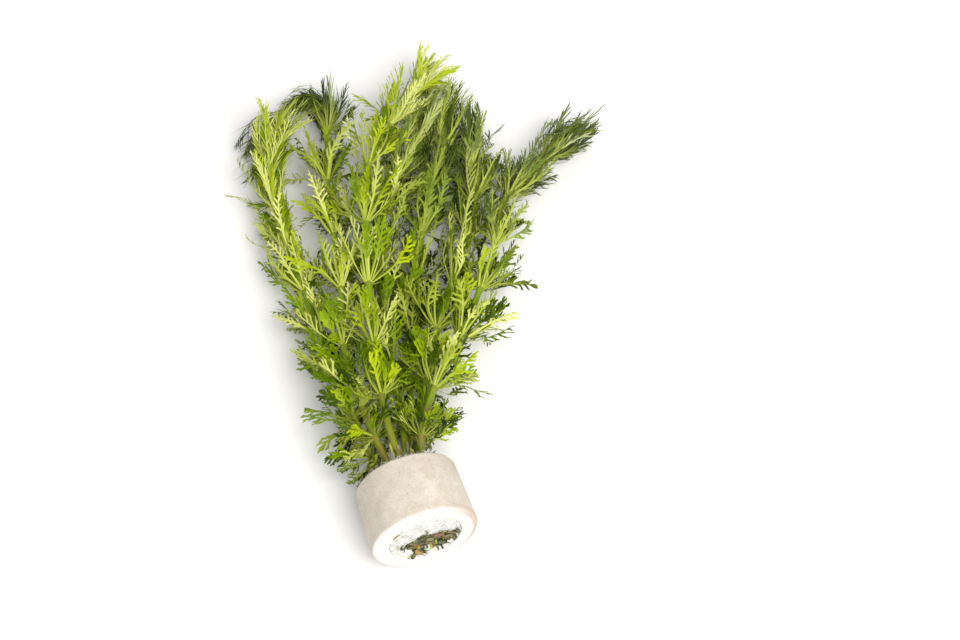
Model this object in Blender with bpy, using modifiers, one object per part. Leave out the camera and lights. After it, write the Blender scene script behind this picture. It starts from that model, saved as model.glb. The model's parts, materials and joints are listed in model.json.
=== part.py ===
# Ambulia: a bunch of seven cut water-plant stems, packed with filter wool in a ceramic ring and
# lying on its side on a flat surface.
#
# Metres, +Z up. The ring's mouth faces the front and leans a little to the right of -Y, and the
# stems run from it towards +Y. The origin is the centre of the base of the bunch's box.

import math
import random

import bpy
import bmesh
from mathutils import Matrix, Vector
from mathutils.bvhtree import BVHTree

MM = 0.001

# The ceramic ring, measured along its own axis from the mouth face
RING_SIDES = 36
RING_HEIGHT = 22.0 * MM
MOUTH_RADIUS = 17.5 * MM
FAR_RADIUS = 16.6 * MM
BORE_RADIUS = 11.7 * MM
MOUTH_ROUNDING = 1.3 * MM
FAR_CHAMFER = 1.2 * MM
BORE_CHAMFER = 0.5 * MM
RING_LEAN = math.radians(18.0)

# The plug of filter wool, which bulges a little out of the far end of the bore
WOOL_SIDES = 24
WOOL_RADIUS = 11.3 * MM
WOOL_START = 0.8 * MM
WOOL_END = 22.9 * MM
WOOL_ROUNDING = 1.2 * MM

# Clear space between pieces that touch in the real bunch
GAP = 0.3 * MM

# Stems are straight in the ring and taper from there to the tip
STEM_STEP = 22.0 * MM
STEM_RADIUS = 1.25 * MM
TIP_RADIUS = 0.78 * MM
STRAIGHT_PART = 25.0 * MM
ROOM_LENGTH = 44.0 * MM
ROOM_LEAD = 6.0 * MM

# The collar that the leaves of a whorl grow from
COLLAR_HEIGHT = 1.5 * MM
COLLAR_WALL = 0.75 * MM

# A leaf: a narrow stalk, the widest place and the tip, as shares of its length
STALK_SHARE = 0.36
WIDEST_SHARE = 0.36
TIP_SHARE = 0.28
STALK_WIDTH = 1.24 * MM
LEAF_THICKNESS = 0.8 * MM

# Leaves stay between these heights over the surface. Each row of tries is a number of places
# and the size of the leaf there; a leaf that finds no place is left out.
FLOOR = 0.06 * MM
CEILING = 38.5 * MM
TRIES = ((30, 1.0), (20, 0.85), (20, 0.7), (20, 0.5))

# The seven stems, in millimetres. Points run along the centre line from the cut end in the ring
# to the tip: the mouth is centred on x 0, y 0, and the axis there is as high as the mouth
# radius. Nodes are the distances of the whorls from the cut end, bends are more distances where
# the tube needs a point, and spread is how far the leaves open.
STEMS = [
    {"name": "stem_1", "length": 158, "spread": 0.55,
     "nodes": [30, 45, 61, 80, 98, 116, 134, 152],
     "points": [(-6.5, 0, 16.5), (-13.5, 19, 18.5), (-23.5, 41, 19), (-35.5, 74, 17),
                (-48.5, 111, 14), (-55.5, 136, 14), (-55, 158, 15)]},
    {"name": "stem_2", "length": 199, "spread": 0.9,
     "nodes": [37, 54, 72, 95, 118, 142, 166, 194], "bends": [173, 179, 183, 187, 190.5],
     "points": [(-4, 0.5, 12), (-10, 20, 21.5), (-18, 36, 25), (-27, 64, 24), (-29, 90, 22),
                (-34.5, 126, 18), (-36, 146, 14.5), (-36.5, 160, 11.5), (-39.5, 170, 9.5),
                (-45.5, 174.5, 8), (-51, 171.5, 6.5), (-53.5, 165, 6)]},
    {"name": "stem_3", "length": 183, "spread": 1.0,
     "nodes": [47, 66, 90, 115, 140, 160, 177],
     "points": [(-2.5, 1.5, 18.5), (-6.5, 21.5, 24), (-12, 34, 28), (-17, 62, 28),
                (-21, 108, 25), (-20, 141, 22), (-4, 176, 16), (7, 190, 15)]},
    {"name": "stem_4", "length": 158, "spread": 1.0,
     "nodes": [40, 61, 82, 103, 121, 136, 152],
     "points": [(0, 2, 15.5), (-5.5, 21.5, 18.5), (-8, 41, 18), (-14, 79, 14), (-17, 101, 15),
                (-14, 126, 19), (0, 168, 14)]},
    {"name": "stem_5", "length": 158, "spread": 1.0,
     "nodes": [38, 58, 79, 99, 118, 136, 152],
     "points": [(2.5, 3, 13), (-7.5, 20.5, 13.5), (-5.5, 45, 11), (-6, 84, 9), (-1, 129, 11),
                (7, 167, 12)]},
    {"name": "stem_6", "length": 152, "spread": 0.95,
     "nodes": [35, 53, 72, 92, 111, 129, 145],
     "points": [(2.5, 3, 18), (-2.5, 22.5, 18), (-2, 41, 20), (2.5, 73, 21), (8, 94, 18.5),
                (12.5, 114, 15.5), (14.5, 134, 12.5), (14, 158, 11)]},
    {"name": "stem_7", "length": 166, "spread": 0.9,
     "nodes": [31, 48, 67, 89, 111, 134, 156],
     "points": [(6.5, 4, 16.5), (-1, 23, 22.5), (0, 42, 27), (10, 65, 28), (16, 83, 26),
                (21.5, 103, 21.5), (24, 121, 16.5), (30.5, 137, 13), (50, 158, 10.5)]},
]

# One row for each whorl up a stem: leaves, leaf length and width in millimetres, and the
# smallest and largest angle between leaf and stem in degrees. A stem with fewer whorls has the
# last rows, and the two whorls next to the ring open fully on every stem.
WHORLS = [
    (5, 13.0, 4.2, 48, 76),
    (6, 16.0, 4.4, 36, 62),
    (6, 19.0, 4.6, 28, 50),
    (7, 22.0, 4.8, 22, 42),
    (7, 24.0, 5.0, 18, 36),
    (6, 25.0, 4.8, 14, 30),
    (6, 25.0, 4.4, 11, 25),
    (6, 24.0, 3.8, 8, 20),
]

# The upper stems of the pile take their places first.
ORDER = (2, 6, 1, 5, 0, 3, 4)

# The tapered side of the ring lies flat on the surface, so its axis dips towards the plant.
FLAT = math.cos(math.pi / RING_SIDES)
SIDE_LENGTH = RING_HEIGHT - MOUTH_ROUNDING - FAR_CHAMFER
DIP = math.atan((MOUTH_RADIUS - FAR_RADIUS) * FLAT / SIDE_LENGTH)
RING_PLACE = (Matrix.Translation((0, 0, MOUTH_RADIUS)) @ Matrix.Rotation(RING_LEAN, 4, "Z")
              @ Matrix.Rotation(-math.pi / 2 - DIP, 4, "X"))


def clear_scene():
    """Take every object out of the scene."""
    for item in list(bpy.data.objects):
        bpy.data.objects.remove(item, do_unlink=True)


def make_collection(name):
    """Make a collection in the scene."""
    group = bpy.data.collections.new(name)
    bpy.context.scene.collection.children.link(group)
    return group


def make_material(name, colour, roughness):
    """Make a plain material."""
    material = bpy.data.materials.new(name)
    material.use_nodes = True
    shader = material.node_tree.nodes["Principled BSDF"]
    shader.inputs["Base Color"].default_value = (*colour, 1.0)
    shader.inputs["Roughness"].default_value = roughness
    material.diffuse_color = (*colour, 1.0)
    return material


def add_object(name, data, material, group, root, place=None):
    """Make an object, put it in its place and hang it on the root."""
    item = bpy.data.objects.new(name, data)
    data.materials.append(material)
    group.objects.link(item)
    item.parent = root
    if place is not None:
        item.matrix_basis = place
    return item


def mesh_from(work, name):
    """Turn a bmesh into a mesh with flat triangles that face outwards."""
    bmesh.ops.triangulate(work, faces=work.faces)
    bmesh.ops.recalc_face_normals(work, faces=work.faces)
    mesh = bpy.data.meshes.new(name)
    work.to_mesh(mesh)
    work.free()
    return mesh


def make_ring(material, group, root):
    """Turn the ring's profile round its axis; one of its flat sides is down."""
    top = RING_HEIGHT
    rounding = MOUTH_ROUNDING * 0.3
    profile = [(FAR_RADIUS - FAR_CHAMFER, top), (FAR_RADIUS, top - FAR_CHAMFER),
               (MOUTH_RADIUS, MOUTH_ROUNDING), (MOUTH_RADIUS - rounding, rounding),
               (MOUTH_RADIUS - MOUTH_ROUNDING, 0), (BORE_RADIUS + BORE_CHAMFER, 0),
               (BORE_RADIUS, BORE_CHAMFER), (BORE_RADIUS, top)]
    count = len(profile)
    mesh = bpy.data.meshes.new("ceramic_ring")
    edges = [(k, (k + 1) % count) for k in range(count)]
    mesh.from_pydata([(x, 0, z) for x, z in profile], edges, [])
    half_step = Matrix.Rotation(math.pi / RING_SIDES, 4, "Z")
    ring = add_object("ceramic_ring", mesh, material, group, root, RING_PLACE @ half_step)
    turn = ring.modifiers.new("turned", "SCREW")
    turn.axis = "Z"
    turn.steps = RING_SIDES
    turn.render_steps = RING_SIDES
    turn.use_merge_vertices = True
    turn.merge_threshold = 0.00001
    turn.use_smooth_shade = False
    return ring


def make_plug(material, group, root, cutters):
    """Make the wool plug and cut room for the stems out of it."""
    work = bmesh.new()
    depth = WOOL_END - WOOL_START
    middle = Matrix.Translation((0, 0, WOOL_START + depth / 2))
    bmesh.ops.create_cone(work, cap_ends=True, segments=WOOL_SIDES, radius1=WOOL_RADIUS,
                          radius2=WOOL_RADIUS, depth=depth, matrix=middle)
    mesh = bpy.data.meshes.new("filter_wool")
    work.to_mesh(mesh)
    work.free()
    plug = add_object("filter_wool", mesh, material, group, root, RING_PLACE)
    soften = plug.modifiers.new("soft_edge", "BEVEL")
    soften.width = WOOL_ROUNDING
    soften.segments = 1
    soften.angle_limit = math.radians(40)
    for cutter in cutters:
        cut = plug.modifiers.new("room_for_" + cutter.name, "BOOLEAN")
        cut.operation = "DIFFERENCE"
        cut.solver = "EXACT"
        cut.object = cutter
    return plug


def smooth_path(points):
    """Run a smooth curve through the points: close points on it and their distances."""
    points = [Vector(p) * MM for p in points]
    line = [points[0] * 2 - points[1]] + points + [points[-1] * 2 - points[-2]]
    fine = []
    pieces = 12
    for i in range(1, len(line) - 2):
        a, b, c, d = line[i - 1:i + 3]
        for k in range(pieces):
            t = k / pieces
            square = 2 * a - 5 * b + 4 * c - d
            cube = 3 * b - a - 3 * c + d
            fine.append(0.5 * (2 * b + (c - a) * t + square * t ** 2 + cube * t ** 3))
    fine.append(points[-1])
    lengths = [0.0]
    for a, b in zip(fine, fine[1:]):
        lengths.append(lengths[-1] + (b - a).length)
    return fine, lengths


def point_at(path, distance):
    """Point and direction at a distance along a path."""
    fine, lengths = path
    i = 0
    while i < len(fine) - 2 and lengths[i + 1] < distance:
        i += 1
    t = (distance - lengths[i]) / (lengths[i + 1] - lengths[i])
    ahead = fine[min(i + 3, len(fine) - 1)]
    behind = fine[max(i - 2, 0)]
    return fine[i].lerp(fine[i + 1], t), (ahead - behind).normalized()


def stem_radius(stem, distance):
    """Radius of a stem at a distance from its cut end."""
    t = (distance - STRAIGHT_PART) / (stem["length"] * MM - STRAIGHT_PART)
    return STEM_RADIUS + (TIP_RADIUS - STEM_RADIUS) * min(max(t, 0.0), 1.0)


def tube_curve(name, centres, radii, resolution):
    """A round tube along the centres."""
    curve = bpy.data.curves.new(name, "CURVE")
    curve.dimensions = "3D"
    curve.bevel_depth = STEM_RADIUS
    curve.bevel_resolution = resolution
    curve.use_fill_caps = True
    spline = curve.splines.new("POLY")
    spline.points.add(len(centres) - 1)
    for point, centre, radius in zip(spline.points, centres, radii):
        point.co = (*centre, 1.0)
        point.radius = radius / STEM_RADIUS
    return curve


def stem_marks(stem):
    """Distances along a stem at which its tube has a point."""
    inner = sorted(stem["nodes"] + stem.get("bends", []))
    stops = [0.0] + [distance * MM for distance in inner] + [stem["length"] * MM]
    marks = []
    for low, high in zip(stops, stops[1:]):
        steps = math.ceil((high - low) / STEM_STEP)
        marks += [low + (high - low) * i / steps for i in range(steps)]
    return marks + [stops[-1]]


def make_stem(stem, path, material, group, root):
    """Make a stem as a tapered tube."""
    marks = stem_marks(stem)
    centres = [point_at(path, mark)[0] for mark in marks]
    curve = tube_curve(stem["name"], centres, [stem_radius(stem, mark) for mark in marks], 1)
    return add_object(stem["name"], curve, material, group, root)


def make_room(stem, path, material, tools, root):
    """Make the mesh that cuts room for a stem out of the wool."""
    centres = [point_at(path, mark)[0] for mark in stem_marks(stem) if mark < ROOM_LENGTH]
    centres.insert(0, centres[0] + (centres[0] - centres[1]).normalized() * ROOM_LEAD)
    radius = STEM_RADIUS + GAP * 1.3
    name = stem["name"] + "_room"
    curve = tube_curve(name, centres, [radius] * len(centres), 1)
    guide = add_object(name + "_guide", curve, material, tools, root)
    bpy.context.view_layer.update()
    seen = guide.evaluated_get(bpy.context.evaluated_depsgraph_get())
    mesh = bpy.data.meshes.new_from_object(seen)
    bpy.data.objects.remove(guide, do_unlink=True)
    work = bmesh.new()
    work.from_mesh(mesh)
    bmesh.ops.remove_doubles(work, verts=work.verts, dist=0.00001)
    bmesh.ops.recalc_face_normals(work, faces=work.faces)
    work.to_mesh(mesh)
    work.free()
    mesh.name = name
    cutter = bpy.data.objects.new(name, mesh)
    tools.objects.link(cutter)
    cutter.parent = root
    cutter.hide_render = True
    cutter.display_type = "WIRE"
    return cutter


def whorl_place(path, distance, turn):
    """Place of a whorl: its local Z runs along the stem."""
    centre, axis = point_at(path, distance)
    side = Vector((0, 0, 1)).cross(axis).normalized()
    first = side * math.cos(turn) + axis.cross(side) * math.sin(turn)
    second = axis.cross(first)
    return Matrix((first.to_4d(), second.to_4d(), axis.to_4d(), centre.to_4d())).transposed()


def affine(matrix):
    """The same matrix with its last row set right."""
    fixed = matrix.copy()
    fixed[3] = (0, 0, 0, 1)
    return fixed


def make_collar(radius, count):
    """Spin a small rectangle round the stem: the collar of a whorl, and its outer faces."""
    inner = (radius + GAP) / math.cos(math.pi / count)
    outer = inner + COLLAR_WALL
    high = COLLAR_HEIGHT / 2
    work = bmesh.new()
    start = Matrix.Rotation(-math.pi / count, 3, "Z")
    corners = [(inner, 0, -high), (outer, 0, -high), (outer, 0, high), (inner, 0, high)]
    verts = [work.verts.new(start @ Vector(corner)) for corner in corners]
    edges = [work.edges.new((verts[k], verts[(k + 1) % 4])) for k in range(4)]
    bmesh.ops.spin(work, geom=verts + edges, cent=(0, 0, 0), axis=(0, 0, 1),
                   angle=2 * math.pi, steps=count, use_merge=True)
    bmesh.ops.recalc_face_normals(work, faces=work.faces)
    faces = []
    for face in work.faces:
        middle = face.calc_center_median()
        if middle.to_2d().dot(face.normal.to_2d()) > inner / 2:
            faces.append(face)
    return work, faces


def leaf_form(rng, row, spread, size):
    """Draw the form of one leaf; size is how large it is against a full one."""
    count, length, width, low_angle, high_angle = row
    return {"turn": math.radians(rng.uniform(-17, 17)),
            "angle": math.radians(rng.uniform(low_angle, high_angle)) * spread,
            "bend": math.radians(rng.uniform(-8, 26)),
            "twist": math.radians(rng.uniform(-24, 24)),
            "sag": rng.uniform(0.05, 0.3),
            "length": length * MM * size * rng.uniform(0.86, 1.1),
            "width": width * MM * (0.6 + 0.4 * size) * rng.uniform(0.85, 1.12)}


def leaf_rings(base, axis, radial, form, pad):
    """Four points round the stalk's end, four round the widest place, and the tip of a leaf."""
    out = radial * math.cos(form["turn"]) + axis.cross(radial) * math.sin(form["turn"])
    across = axis.cross(out)
    angle, bend, sag = form["angle"], form["bend"], form["sag"]
    parts = ((STALK_SHARE, angle + bend / 2, 0.0, STALK_WIDTH / 2),
             (WIDEST_SHARE, angle - bend / 3, sag, form["width"] / 2),
             (TIP_SHARE, angle - bend, sag * 1.6, 0.0))
    centre = base
    rings = []
    for share, lean, fall, half in parts:
        way = axis * math.cos(lean) + out * math.sin(lean) - Vector((0, 0, fall))
        way.normalize()
        centre = centre + way * (form["length"] * share)
        if half == 0.0:
            centre.z = max(centre.z, FLOOR)
            rings.append([centre + way * pad])
            break
        flat = (across - way * across.dot(way)).normalized()
        flat = flat * math.cos(form["twist"]) + way.cross(flat) * math.sin(form["twist"])
        upper = way.cross(flat).normalized()
        thick = LEAF_THICKNESS / 2
        centre.z = max(centre.z, FLOOR + abs(flat.z) * half + abs(upper.z) * thick)
        wide = flat * (half + pad)
        high = upper * (thick + pad)
        rings.append([centre - wide - high, centre + wide - high, centre + wide + high,
                      centre - wide + high])
    return rings


def leaf_tree(corners, rings):
    """Search tree of a leaf that grows from four corners, and its box."""
    verts = corners + rings[0] + rings[1] + rings[2]
    faces = []
    for low in (0, 4):
        for k in range(4):
            n = (k + 1) % 4
            faces.append((low + k, low + n, low + 4 + n))
            faces.append((low + k, low + 4 + n, low + 4 + k))
    faces += [(8 + k, 8 + (k + 1) % 4, 12) for k in range(4)]
    return boxed(BVHTree.FromPolygons(verts, faces), verts)


def boxed(tree, verts):
    """A search tree with the box of its points."""
    low = Vector([min(v[i] for v in verts) for i in range(3)])
    high = Vector([max(v[i] for v in verts) for i in range(3)])
    return tree, low, high


def object_tree(item):
    """Search tree of an object as it is seen, and its box."""
    bpy.context.view_layer.update()
    seen = item.evaluated_get(bpy.context.evaluated_depsgraph_get())
    mesh = seen.to_mesh()
    verts = [item.matrix_world @ v.co for v in mesh.vertices]
    faces = [tuple(face.vertices) for face in mesh.polygons]
    seen.to_mesh_clear()
    return boxed(BVHTree.FromPolygons(verts, faces), verts)


def bmesh_tree(work, place):
    """Search tree of a bmesh in its place, and its box."""
    work.verts.index_update()
    verts = [place @ v.co for v in work.verts]
    faces = [tuple(v.index for v in face.verts) for face in work.faces]
    return boxed(BVHTree.FromPolygons(verts, faces), verts)


def touches(shape, others):
    """Whether a shape crosses any of the others."""
    tree, low, high = shape
    for other, other_low, other_high in others:
        apart = any(low[i] > other_high[i] or other_low[i] > high[i] for i in range(3))
        if not apart and tree.overlap(other):
            return True
    return False


def place_leaf(rng, place, corners, row, spread, placed):
    """Find a place for a leaf where it stays clear of everything, or none."""
    centre = place.translation
    axis = place.col[2].to_3d()
    base = sum(corners, Vector()) / 4
    radial = (base - centre).normalized()
    for tries, size in TRIES:
        for attempt in range(tries):
            form = leaf_form(rng, row, spread, size)
            rings = leaf_rings(base, axis, radial, form, 0.0)
            # The test starts a little way up the stalk, because the collar itself is taken.
            step = (sum(rings[0], Vector()) / 4 - base) / 4
            wide = leaf_rings(base, axis, radial, form, GAP)
            shape = leaf_tree([v + step for v in corners], wide)
            if shape[2].z < CEILING and not touches(shape, placed):
                return rings
    return None


def face_corners(face, place):
    """Corners of an outer collar face in their place: low left, low right, top right, top left."""
    middle = face.calc_center_median()
    across = Vector((-middle.y, middle.x, 0))
    verts = sorted(face.verts, key=lambda v: (v.co.z > 0, v.co.dot(across)))
    verts = [verts[0], verts[1], verts[3], verts[2]]
    return verts, [place @ v.co for v in verts]


def grow_leaf(work, face, verts, rings, back):
    """Draw a leaf out of a collar face: two extrusions and a point."""
    spots = [v.co.copy() for v in verts]
    for ring in rings[:2]:
        face = bmesh.ops.extrude_discrete_faces(work, faces=[face])["faces"][0]
        for v in face.verts:
            nearest = min(range(4), key=lambda k: (spots[k] - v.co).length)
            v.co = back @ ring[nearest]
        spots = [back @ spot for spot in ring]
    tip = bmesh.ops.poke(work, faces=[face])["verts"][0]
    tip.co = back @ rings[2][0]


def make_whorl(rng, plan, placed, material, group, root):
    """Grow the leaves of a whorl one after the other from its collar."""
    work, faces, place = plan["work"], plan["faces"], plan["place"]
    back = place.inverted()
    for face in faces:
        verts, corners = face_corners(face, place)
        rings = place_leaf(rng, place, corners, plan["row"], plan["spread"], placed)
        if rings is not None:
            grow_leaf(work, face, verts, rings, back)
            placed.append(leaf_tree(corners, rings))
    mesh = mesh_from(work, plan["name"])
    return add_object(plan["name"], mesh, material, group, root, place)


def settle(group, root):
    """Move the root so that the origin is the centre of the base of the bunch's box."""
    boxes = [object_tree(item)[1:] for item in group.objects]
    low = Vector([min(box[0][i] for box in boxes) for i in range(3)])
    high = Vector([max(box[1][i] for box in boxes) for i in range(3)])
    root.location = (-(low.x + high.x) / 2, -(low.y + high.y) / 2, -low.z)
    print("size in mm", [round(v / MM, 2) for v in high - low])
    print("root in mm", [round(v / MM, 3) for v in root.location])


def build():
    """Build the whole bunch."""
    clear_scene()
    group = make_collection("ambulia_bunch")
    tools = make_collection("cutters")
    places = make_collection("places")
    root = bpy.data.objects.new("bunch_root", None)
    places.objects.link(root)
    ceramic = make_material("ceramic_body", (0.80, 0.76, 0.69), 0.75)
    wool_white = make_material("filter_wool_fibre", (0.90, 0.90, 0.88), 0.95)
    stem_green = make_material("stem_tissue", (0.26, 0.36, 0.05), 0.5)
    leaf_green = make_material("leaf_tissue", (0.20, 0.36, 0.03), 0.55)
    rng = random.Random(20)

    # Ceramic ring
    placed = [object_tree(make_ring(ceramic, group, root))]

    # Stems, and the room they take in the wool
    paths = [smooth_path(stem["points"]) for stem in STEMS]
    for stem, path in zip(STEMS, paths):
        placed.append(object_tree(make_stem(stem, path, stem_green, group, root)))
    rooms = [make_room(stem, path, wool_white, tools, root) for stem, path in zip(STEMS, paths)]

    # Filter wool
    placed.append(object_tree(make_plug(wool_white, group, root, rooms)))

    # The collars of all the whorls are there first, so that no leaf runs into one.
    plans = []
    for number in ORDER:
        stem = STEMS[number]
        rows = WHORLS[-len(stem["nodes"]):]
        for level, distance in enumerate(stem["nodes"]):
            turn = rng.uniform(0, 2 * math.pi)
            place = affine(whorl_place(paths[number], distance * MM, turn))
            below = stem_radius(stem, distance * MM - COLLAR_HEIGHT * 2)
            work, faces = make_collar(below, rows[level][0])
            placed.append(bmesh_tree(work, place))
            plans.append({"name": stem["name"] + "_whorl_" + str(level + 1), "work": work,
                          "faces": faces, "place": place, "row": rows[level],
                          "spread": stem["spread"] if level > 1 else 1.0})

    # Leaves
    for plan in plans:
        make_whorl(rng, plan, placed, leaf_green, group, root)

    settle(group, root)


build()
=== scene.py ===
# %% [markdown]
# A bunch of ambulia: seven cut stems of a soft water plant, packed with filter wool in a short
# ceramic ring and lying on its side. The solids of the part give the places and the sizes, and
# this script gives each of them the surface that the real one has.
#
# The eye reads such a bunch from a step away by its silhouette, then by the fineness of the
# leaves, and then by the two greens of every leaf: a fresh upper side and a pale, dull underside.
# So most of the work below goes into the leaves.

# %% Load the solids
import json
import math
import random

import bpy
import bmesh
import numpy as np
from mathutils import Matrix, Vector, noise

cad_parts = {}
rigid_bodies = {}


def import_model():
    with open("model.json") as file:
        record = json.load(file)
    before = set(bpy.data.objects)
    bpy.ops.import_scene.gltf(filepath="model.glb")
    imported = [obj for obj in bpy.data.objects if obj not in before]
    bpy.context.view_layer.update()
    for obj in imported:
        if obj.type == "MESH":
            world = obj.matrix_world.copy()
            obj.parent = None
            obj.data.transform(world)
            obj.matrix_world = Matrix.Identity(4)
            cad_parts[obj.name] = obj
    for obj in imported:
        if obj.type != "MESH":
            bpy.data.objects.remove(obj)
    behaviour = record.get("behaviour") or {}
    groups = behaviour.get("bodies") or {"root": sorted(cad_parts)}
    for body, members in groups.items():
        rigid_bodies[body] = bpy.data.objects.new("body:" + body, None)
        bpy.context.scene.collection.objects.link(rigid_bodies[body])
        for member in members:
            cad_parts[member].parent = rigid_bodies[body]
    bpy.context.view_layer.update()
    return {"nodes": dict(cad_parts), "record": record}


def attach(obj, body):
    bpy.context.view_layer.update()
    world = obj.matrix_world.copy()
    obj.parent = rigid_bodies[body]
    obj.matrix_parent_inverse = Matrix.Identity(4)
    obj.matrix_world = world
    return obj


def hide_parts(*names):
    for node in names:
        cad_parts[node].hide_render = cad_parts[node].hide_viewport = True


MM = 0.001
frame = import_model()
nodes = frame["nodes"]

# %% [markdown]
# Colours are written the way a paint program shows them, as sRGB hex. Blender's shaders work
# with linear light, so one function converts them. A second one adds a node to a material, with
# its settings and what feeds its inputs, which keeps each material readable as a short list.

# %% Two helpers for materials
def linear(code):
    """Linear red, green, blue and alpha of an sRGB hex colour."""
    shares = [int(code[i:i + 2], 16) / 255 for i in (1, 3, 5)]
    return [s / 12.92 if s <= 0.04045 else ((s + 0.055) / 1.055) ** 2.4 for s in shares] + [1.0]


def add(tree, kind, inputs=None, stops=None, **settings):
    """Add a node: settings by name, inputs from values or sockets, and stops for a ramp."""
    node = tree.nodes.new(kind)
    for name, value in settings.items():
        setattr(node, name, value)
    for socket, value in (inputs or {}).items():
        if isinstance(value, bpy.types.NodeSocket):
            tree.links.new(value, node.inputs[socket])
        else:
            node.inputs[socket].default_value = value
    if stops:
        ramp = node.color_ramp.elements
        while len(ramp) < len(stops):
            ramp.new(0.5)
        for element, (place, code) in zip(ramp, stops):
            element.position = place
            element.color = linear(code)
    return node


def new_material(name):
    """A material with a bare Principled shader: its tree and the shader."""
    material = bpy.data.materials.new(name)
    material.use_nodes = True
    return material, material.node_tree, material.node_tree.nodes["Principled BSDF"]


# %% [markdown]
# Stems and leaves are grown on the solids, so their forms are read back from them first. A
# stem's solid is a tube: rings of points from the cut end to the tip, and the middle of each
# ring lies on the stem's centre line. A whorl's solid is a collar with leaves, and each leaf is
# a stalk, a widest place and a tip. The tip is the only far point with four neighbours that are
# all nearer to the stem, and the rest of the leaf follows from it, ring by ring.

# %% Read the stems and leaves from the solids
CUT_END_REACH = 4 * MM
COLLAR_REACH = 3.1 * MM
LEAST_REACH = 5 * MM


def points_and_links(name):
    """Points of a solid, with doubles joined, and the neighbours of each."""
    work = bmesh.new()
    work.from_mesh(nodes[name].data)
    bmesh.ops.remove_doubles(work, verts=work.verts, dist=0.002 * MM)
    work.verts.index_update()
    points = np.array([v.co for v in work.verts])
    links = [{e.other_vert(v).index for e in v.link_edges} for v in work.verts]
    work.free()
    return points, links


def spread_links(links, start):
    """Every neighbour of a group of points."""
    return set().union(*(links[i] for i in start))


def read_stem(name):
    """Middles and radii of a stem's rings, from the cut end to the tip."""
    points, links = points_and_links(name)
    first = points[points[:, 1].argmin()]
    level = set(np.flatnonzero(np.linalg.norm(points - first, axis=1) < CUT_END_REACH).tolist())
    seen = set()
    middles = []
    radii = []
    while level:
        ring = points[sorted(level)]
        middles.append(ring.mean(axis=0))
        radii.append(np.linalg.norm(ring - middles[-1], axis=1).mean())
        seen |= level
        level = spread_links(links, level) - seen
    return np.array(middles), np.array(radii)


def read_whorl(name, middles):
    """Number of the stem's ring that a whorl sits at, and the leaves of the whorl."""
    points, links = points_and_links(name)
    apart = np.linalg.norm(points[:, None] - middles[None], axis=2)
    place = int((apart < COLLAR_REACH).sum(axis=0).argmax())
    away = apart[:, place]
    leaves = []
    for tip in range(len(points)):
        near = sorted(links[tip])
        if len(near) != 4 or away[tip] < LEAST_REACH or (away[near] > away[tip]).any():
            continue
        widest = set(near)
        stalk = spread_links(links, widest) - widest - {tip}
        foot = spread_links(links, stalk) - stalk - widest
        groups = [points[sorted(group)] for group in (foot, stalk, widest)]
        spine = np.array([group.mean(axis=0) for group in groups] + [points[tip]])
        spread = groups[2] - spine[2]
        across = np.linalg.svd(spread)[2][0]
        leaves.append({"spine": spine, "across": across,
                       "width": 2 * np.abs(spread @ across).max()})
    return place, leaves


stems = {}
for name in sorted(nodes):
    if name.startswith("stem_") and "whorl" not in name:
        middles, radii = read_stem(name)
        whorls = {}
        for other in sorted(nodes):
            if other.startswith(name + "_whorl"):
                whorls[other] = read_whorl(other, middles)
        stems[name] = {"middles": middles, "radii": radii, "whorls": whorls}
        print(name, "rings", len(middles), "leaves", [len(w[1]) for w in whorls.values()])

# %% [markdown]
# Every fine part of a leaf is a strand: a thin strip with a flat upper side, a shallow keel under
# it and a point. Curves with a bevel could draw them, but a curve has no upper side and no
# underside, and there are tens of thousands of them. So a whole set of strands is worked out at
# once as arrays, and each becomes a small closed solid of three long sides, a foot and a tip.

# %% Strands
def unit(vectors):
    """The same directions at length one."""
    return vectors / np.maximum(np.linalg.norm(vectors, axis=-1, keepdims=True), 1e-12)


def strand_corners(points, ups, wide, thick):
    """Corner points of closed keeled strands; the last point of each strand is its tip."""
    ways = unit(np.gradient(points, axis=1))
    sides = unit(np.cross(ways, ups)) * wide[..., None]
    keels = np.cross(ways, unit(sides)) * thick[..., None]
    rings = np.stack([points - sides, points + sides, points + keels], axis=2)[:, :-1]
    return np.concatenate([rings.reshape(len(points), -1, 3), points[:, -1:]], axis=1)


def strand_faces(count, rings):
    """Faces of strands with so many rings each, the four-sided ones first, and their sides."""
    quads = []
    for k in range(rings - 1):
        for a, b in ((0, 1), (1, 2), (2, 0)):
            quads.append((3 * k + a, 3 * k + b, 3 * k + 3 + b, 3 * k + 3 + a))
    last = 3 * rings - 3
    ends = [(0, 2, 1), (last, last + 1, last + 3), (last + 1, last + 2, last + 3),
            (last + 2, last, last + 3)]
    shift = (np.arange(count) * (last + 4))[:, None, None]
    return ((np.array(quads)[None] + shift).reshape(-1, 4),
            (np.array(ends)[None] + shift).reshape(-1, 3),
            np.tile([1.0, 0.0, 0.0], count * (rings - 1)), np.tile([0.0, 1.0, 0.0, 0.0], count))


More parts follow.
